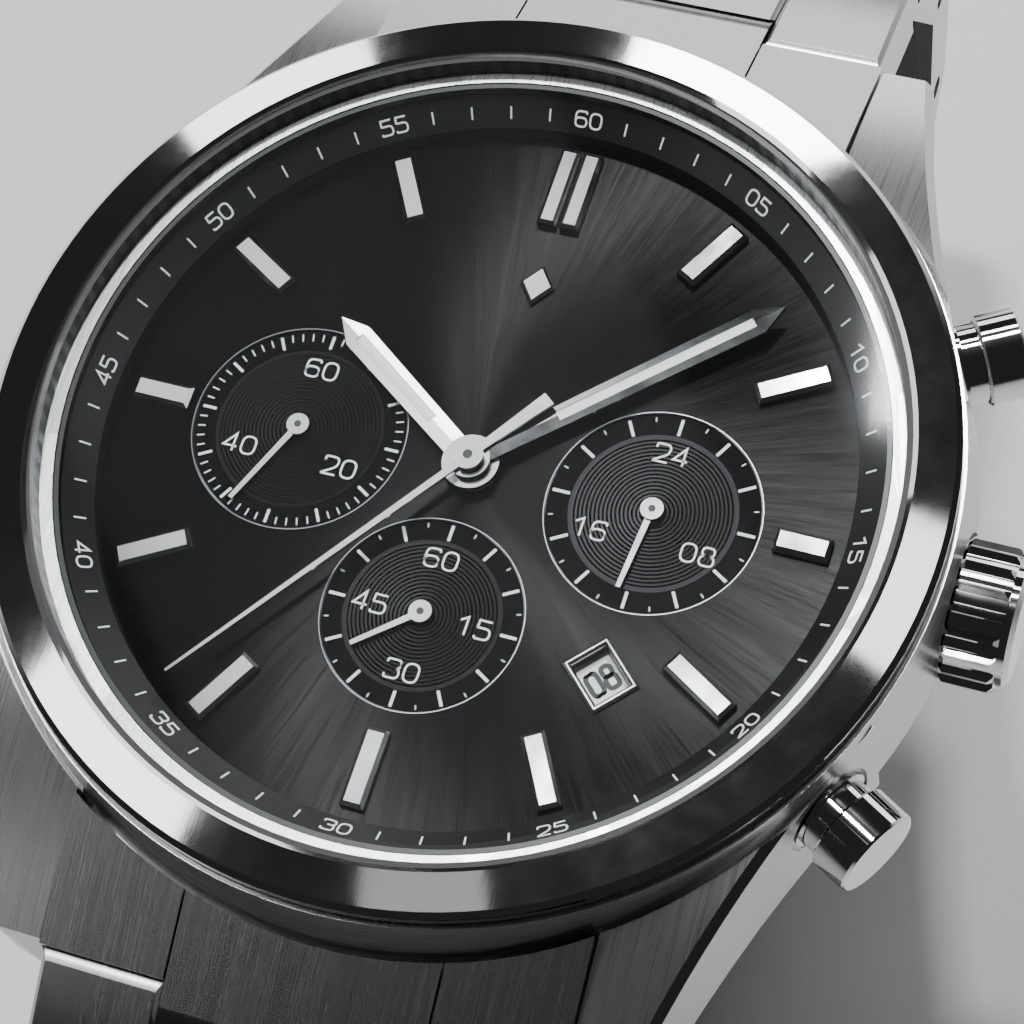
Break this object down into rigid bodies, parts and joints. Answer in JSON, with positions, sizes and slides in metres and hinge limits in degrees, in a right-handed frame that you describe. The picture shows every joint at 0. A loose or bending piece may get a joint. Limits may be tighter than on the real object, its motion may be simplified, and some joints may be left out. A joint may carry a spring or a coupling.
{
  "type": "chronograph wristwatch",
  "caption": "Round steel chronograph wristwatch with sub-dials, date window, crown, pushers and a closed three-piece-link bracelet on a folding clasp.",
  "frame": {"origin": "centre of the case back's outer face", "axes": "+Z out through the dial, +Y to 12 o'clock, +X to the crown"},
  "size_m": [0.0435, 0.0758, 0.0453],
  "materials": {
    "polished_steel": "polished stainless steel",
    "brushed_steel": "satin-brushed stainless steel",
    "sapphire": "clear polished",
    "seal": "matte",
    "black_dial": "black sunray lacquer",
    "hand_steel": "rhodium-plated, faceted",
    "white_disc": "matte white print",
    "plated_plate": "nickel-plated, finely grained",
    "gilt_brass": "gilt",
    "movement_steel": "hardened and polished"
  },
  "bodies": {
    "case": {"mid_case": "polished_steel", "case_back": "brushed_steel", "bezel": "polished_steel", "crystal": "sapphire", "crystal_gasket": "seal", "back_gasket": "seal", "flange_ring": "black_dial", "case_tubes": "polished_steel", "spring_bars": "brushed_steel", "dial": "black_dial", "date_frame": "hand_steel", "hour_markers": "hand_steel", "movement_ring": "plated_plate", "main_plate": "plated_plate", "train_bridge": "plated_plate", "balance_cock": "plated_plate", "movement_screws": "movement_steel", "end_link_12": "brushed_steel", "end_link_6": "brushed_steel", "pusher_spring_start": "movement_steel", "pusher_spring_reset": "movement_steel"},
    "setting_lever": {"setting_lever": "movement_steel"},
    "crown": {"crown": "polished_steel", "crown_stem": "movement_steel"},
    "pusher_start": {"pusher_start": "polished_steel"},
    "pusher_reset": {"pusher_reset": "polished_steel"},
    "minute": {"minute_hand": "hand_steel", "cannon_pinion": "movement_steel"},
    "minute_wheel": {"minute_wheel": "gilt_brass"},
    "hour": {"hour_hand": "hand_steel", "hour_wheel": "gilt_brass"},
    "hour24": {"hour24_hand": "hand_steel", "hour24_wheel": "gilt_brass"},
    "small_seconds": {"small_seconds_hand": "hand_steel", "fourth_wheel": "gilt_brass"},
    "third_wheel": {"third_wheel": "gilt_brass"},
    "centre_wheel": {"centre_wheel": "gilt_brass"},
    "barrel": {"barrel": "gilt_brass"},
    "escape_wheel": {"escape_wheel": "movement_steel"},
    "pallet_fork": {"pallet_fork": "movement_steel"},
    "balance": {"balance_wheel": "gilt_brass"},
    "chrono_seconds": {"chrono_seconds_hand": "hand_steel", "chrono_runner": "gilt_brass"},
    "minute_counter": {"minute_counter_hand": "hand_steel", "minute_counter_wheel": "gilt_brass"},
    "date_disc": {"date_disc": "white_disc"},
    "rotor": {"rotor": "plated_plate"},
    "clasp_cover": {"clasp_cover": "brushed_steel"},
    "clasp_upper_blade": {"clasp_upper_blade": "brushed_steel"},
    "clasp_lower_blade": {"clasp_lower_blade": "brushed_steel"},
    "link_12_1": {"link_12_1": "brushed_steel"},
    "link_12_2": {"link_12_2": "brushed_steel"},
    "link_12_3": {"link_12_3": "brushed_steel"},
    "link_12_4": {"link_12_4": "brushed_steel"},
    "link_12_5": {"link_12_5": "brushed_steel"},
    "link_6_1": {"link_6_1": "brushed_steel"},
    "link_6_2": {"link_6_2": "brushed_steel"},
    "link_6_3": {"link_6_3": "brushed_steel"},
    "link_6_4": {"link_6_4": "brushed_steel"},
    "link_6_5": {"link_6_5": "brushed_steel"}
  },
  "joints": [
    {"name": "minute_turn", "type": "hinge", "parent": "case", "child": "minute", "pos_m": [0, 0, 0.0083], "axis": [0, 0, -1], "continuous": true},
    {"name": "minute_wheel_turn", "type": "hinge", "parent": "case", "child": "minute_wheel", "pos_m": [0.00132, 0.00229, 0.0063], "axis": [0, 0, -1], "continuous": true},
    {"name": "hour_turn", "type": "hinge", "parent": "case", "child": "hour", "pos_m": [0, 0, 0.0079], "axis": [0, 0, -1], "continuous": true},
    {"name": "hour24_turn", "type": "hinge", "parent": "case", "child": "hour24", "pos_m": [0.00775, 0, 0.0075], "axis": [0, 0, -1], "continuous": true},
    {"name": "small_seconds_turn", "type": "hinge", "parent": "case", "child": "small_seconds", "pos_m": [0, -0.00665, 0.0075], "axis": [0, 0, -1], "continuous": true},
    {"name": "third_wheel_turn", "type": "hinge", "parent": "case", "child": "third_wheel", "pos_m": [-0.00249, -0.00375, 0.0042], "axis": [0, 0, -1], "continuous": true},
    {"name": "centre_wheel_turn", "type": "hinge", "parent": "case", "child": "centre_wheel", "pos_m": [0, 0, 0.0046], "axis": [0, 0, -1], "continuous": true},
    {"name": "barrel_turn", "type": "hinge", "parent": "case", "child": "barrel", "pos_m": [-0.00197, 0.00541, 0.0039], "axis": [0, 0, -1], "continuous": true},
    {"name": "escape_wheel_turn", "type": "hinge", "parent": "case", "child": "escape_wheel", "pos_m": [0.00331, -0.00785, 0.0033], "axis": [0, 0, -1], "continuous": true},
    {"name": "pallet_fork_swing", "type": "hinge", "parent": "case", "child": "pallet_fork", "pos_m": [0.0058, -0.00733, 0.0033], "axis": [0, 0, -1], "range_deg": [-5, 5]},
    {"name": "balance_swing", "type": "hinge", "parent": "case", "child": "balance", "pos_m": [0.0083, -0.0068, 0.0044], "axis": [0, 0, -1], "range_deg": [-150, 150]},
    {"name": "chrono_seconds_turn", "type": "hinge", "parent": "case", "child": "chrono_seconds", "pos_m": [0, 0, 0.0086], "axis": [0, 0, -1], "continuous": true},
    {"name": "minute_counter_turn", "type": "hinge", "parent": "case", "child": "minute_counter", "pos_m": [-0.00775, 0, 0.0075], "axis": [0, 0, -1], "continuous": true},
    {"name": "date_turn", "type": "hinge", "parent": "case", "child": "date_disc", "pos_m": [0, 0, 0.0067], "axis": [0, 0, -1], "continuous": true},
    {"name": "rotor_turn", "type": "hinge", "parent": "case", "child": "rotor", "pos_m": [0, 0, 0.0023], "axis": [0, 0, -1], "continuous": true},
    {"name": "crown_pull", "type": "slide", "parent": "case", "child": "setting_lever", "axis": [1, 0, 0], "range_m": [0, 0.0015]},
    {"name": "crown_turn", "type": "hinge", "parent": "setting_lever", "child": "crown", "pos_m": [0.0213, 0, 0.00475], "axis": [1, 0, 0], "continuous": true},
    {"name": "pusher_start_press", "type": "slide", "parent": "case", "child": "pusher_start", "axis": [-0.8746, -0.4848, 0], "range_m": [0, 0.0007], "stiffness_N_per_m": 3000, "springref_m": -0.0002, "deforming": ["pusher_spring_start"]},
    {"name": "pusher_reset_press", "type": "slide", "parent": "case", "child": "pusher_reset", "axis": [-0.8746, 0.4848, 0], "range_m": [0, 0.0007], "stiffness_N_per_m": 3000, "springref_m": -0.0002, "deforming": ["pusher_spring_reset"]},
    {"name": "link_12_1_fold", "type": "hinge", "parent": "case", "child": "link_12_1", "pos_m": [0, 0.0237, 0.0036], "axis": [1, 0, 0], "range_deg": [0, 15]},
    {"name": "link_12_2_fold", "type": "hinge", "parent": "link_12_1", "child": "link_12_2", "pos_m": [0, 0.03143, -0.00017], "axis": [1, 0, 0], "range_deg": [0, 30]},
    {"name": "link_12_3_fold", "type": "hinge", "parent": "link_12_2", "child": "link_12_3", "pos_m": [0, 0.03599, -0.00746], "axis": [1, 0, 0], "range_deg": [0, 30]},
    {"name": "link_12_4_fold", "type": "hinge", "parent": "link_12_3", "child": "link_12_4", "pos_m": [0, 0.03599, -0.01606], "axis": [1, 0, 0], "range_deg": [0, 30]},
    {"name": "link_12_5_fold", "type": "hinge", "parent": "link_12_4", "child": "link_12_5", "pos_m": [0, 0.03143, -0.02336], "axis": [1, 0, 0], "range_deg": [0, 30]},
    {"name": "link_6_1_fold", "type": "hinge", "parent": "case", "child": "link_6_1", "pos_m": [0, -0.0237, 0.0036], "axis": [-1, 0, 0], "range_deg": [0, 15]},
    {"name": "link_6_2_fold", "type": "hinge", "parent": "link_6_1", "child": "link_6_2", "pos_m": [0, -0.03143, -0.00017], "axis": [-1, 0, 0], "range_deg": [0, 30]},
    {"name": "link_6_3_fold", "type": "hinge", "parent": "link_6_2", "child": "link_6_3", "pos_m": [0, -0.03599, -0.00746], "axis": [-1, 0, 0], "range_deg": [0, 30]},
    {"name": "link_6_4_fold", "type": "hinge", "parent": "link_6_3", "child": "link_6_4", "pos_m": [0, -0.03599, -0.01606], "axis": [-1, 0, 0], "range_deg": [0, 30]},
    {"name": "link_6_5_fold", "type": "hinge", "parent": "link_6_4", "child": "link_6_5", "pos_m": [0, -0.03143, -0.02336], "axis": [-1, 0, 0], "range_deg": [0, 30]},
    {"name": "clasp_cover_fold", "type": "hinge", "parent": "link_12_5", "child": "clasp_cover", "pos_m": [0, 0.0237, -0.02713], "axis": [1, 0, 0], "range_deg": [0, 30]},
    {"name": "clasp_open", "type": "hinge", "parent": "clasp_cover", "child": "clasp_upper_blade", "pos_m": [0, -0.02075, -0.02824], "axis": [1, 0, 0], "range_deg": [0, 60]},
    {"name": "clasp_unfold", "type": "hinge", "parent": "clasp_upper_blade", "child": "clasp_lower_blade", "pos_m": [0, 0, -0.03157], "axis": [-1, 0, 0], "range_deg": [0, 100]}
  ],
  "couplings": [
    {"joint": "minute_wheel_turn", "follows": "minute_turn", "ratio": -0.33333},
    {"joint": "hour_turn", "follows": "minute_turn", "ratio": 0.083333},
    {"joint": "hour24_turn", "follows": "minute_turn", "ratio": 0.041667},
    {"joint": "third_wheel_turn", "follows": "small_seconds_turn", "ratio": -0.13333},
    {"joint": "centre_wheel_turn", "follows": "small_seconds_turn", "ratio": 0.016667},
    {"joint": "barrel_turn", "follows": "small_seconds_turn", "ratio": -0.002381},
    {"joint": "escape_wheel_turn", "follows": "small_seconds_turn", "ratio": -10},
    {"joint": "minute_counter_turn", "follows": "chrono_seconds_turn", "ratio": 0.016667}
  ]
}
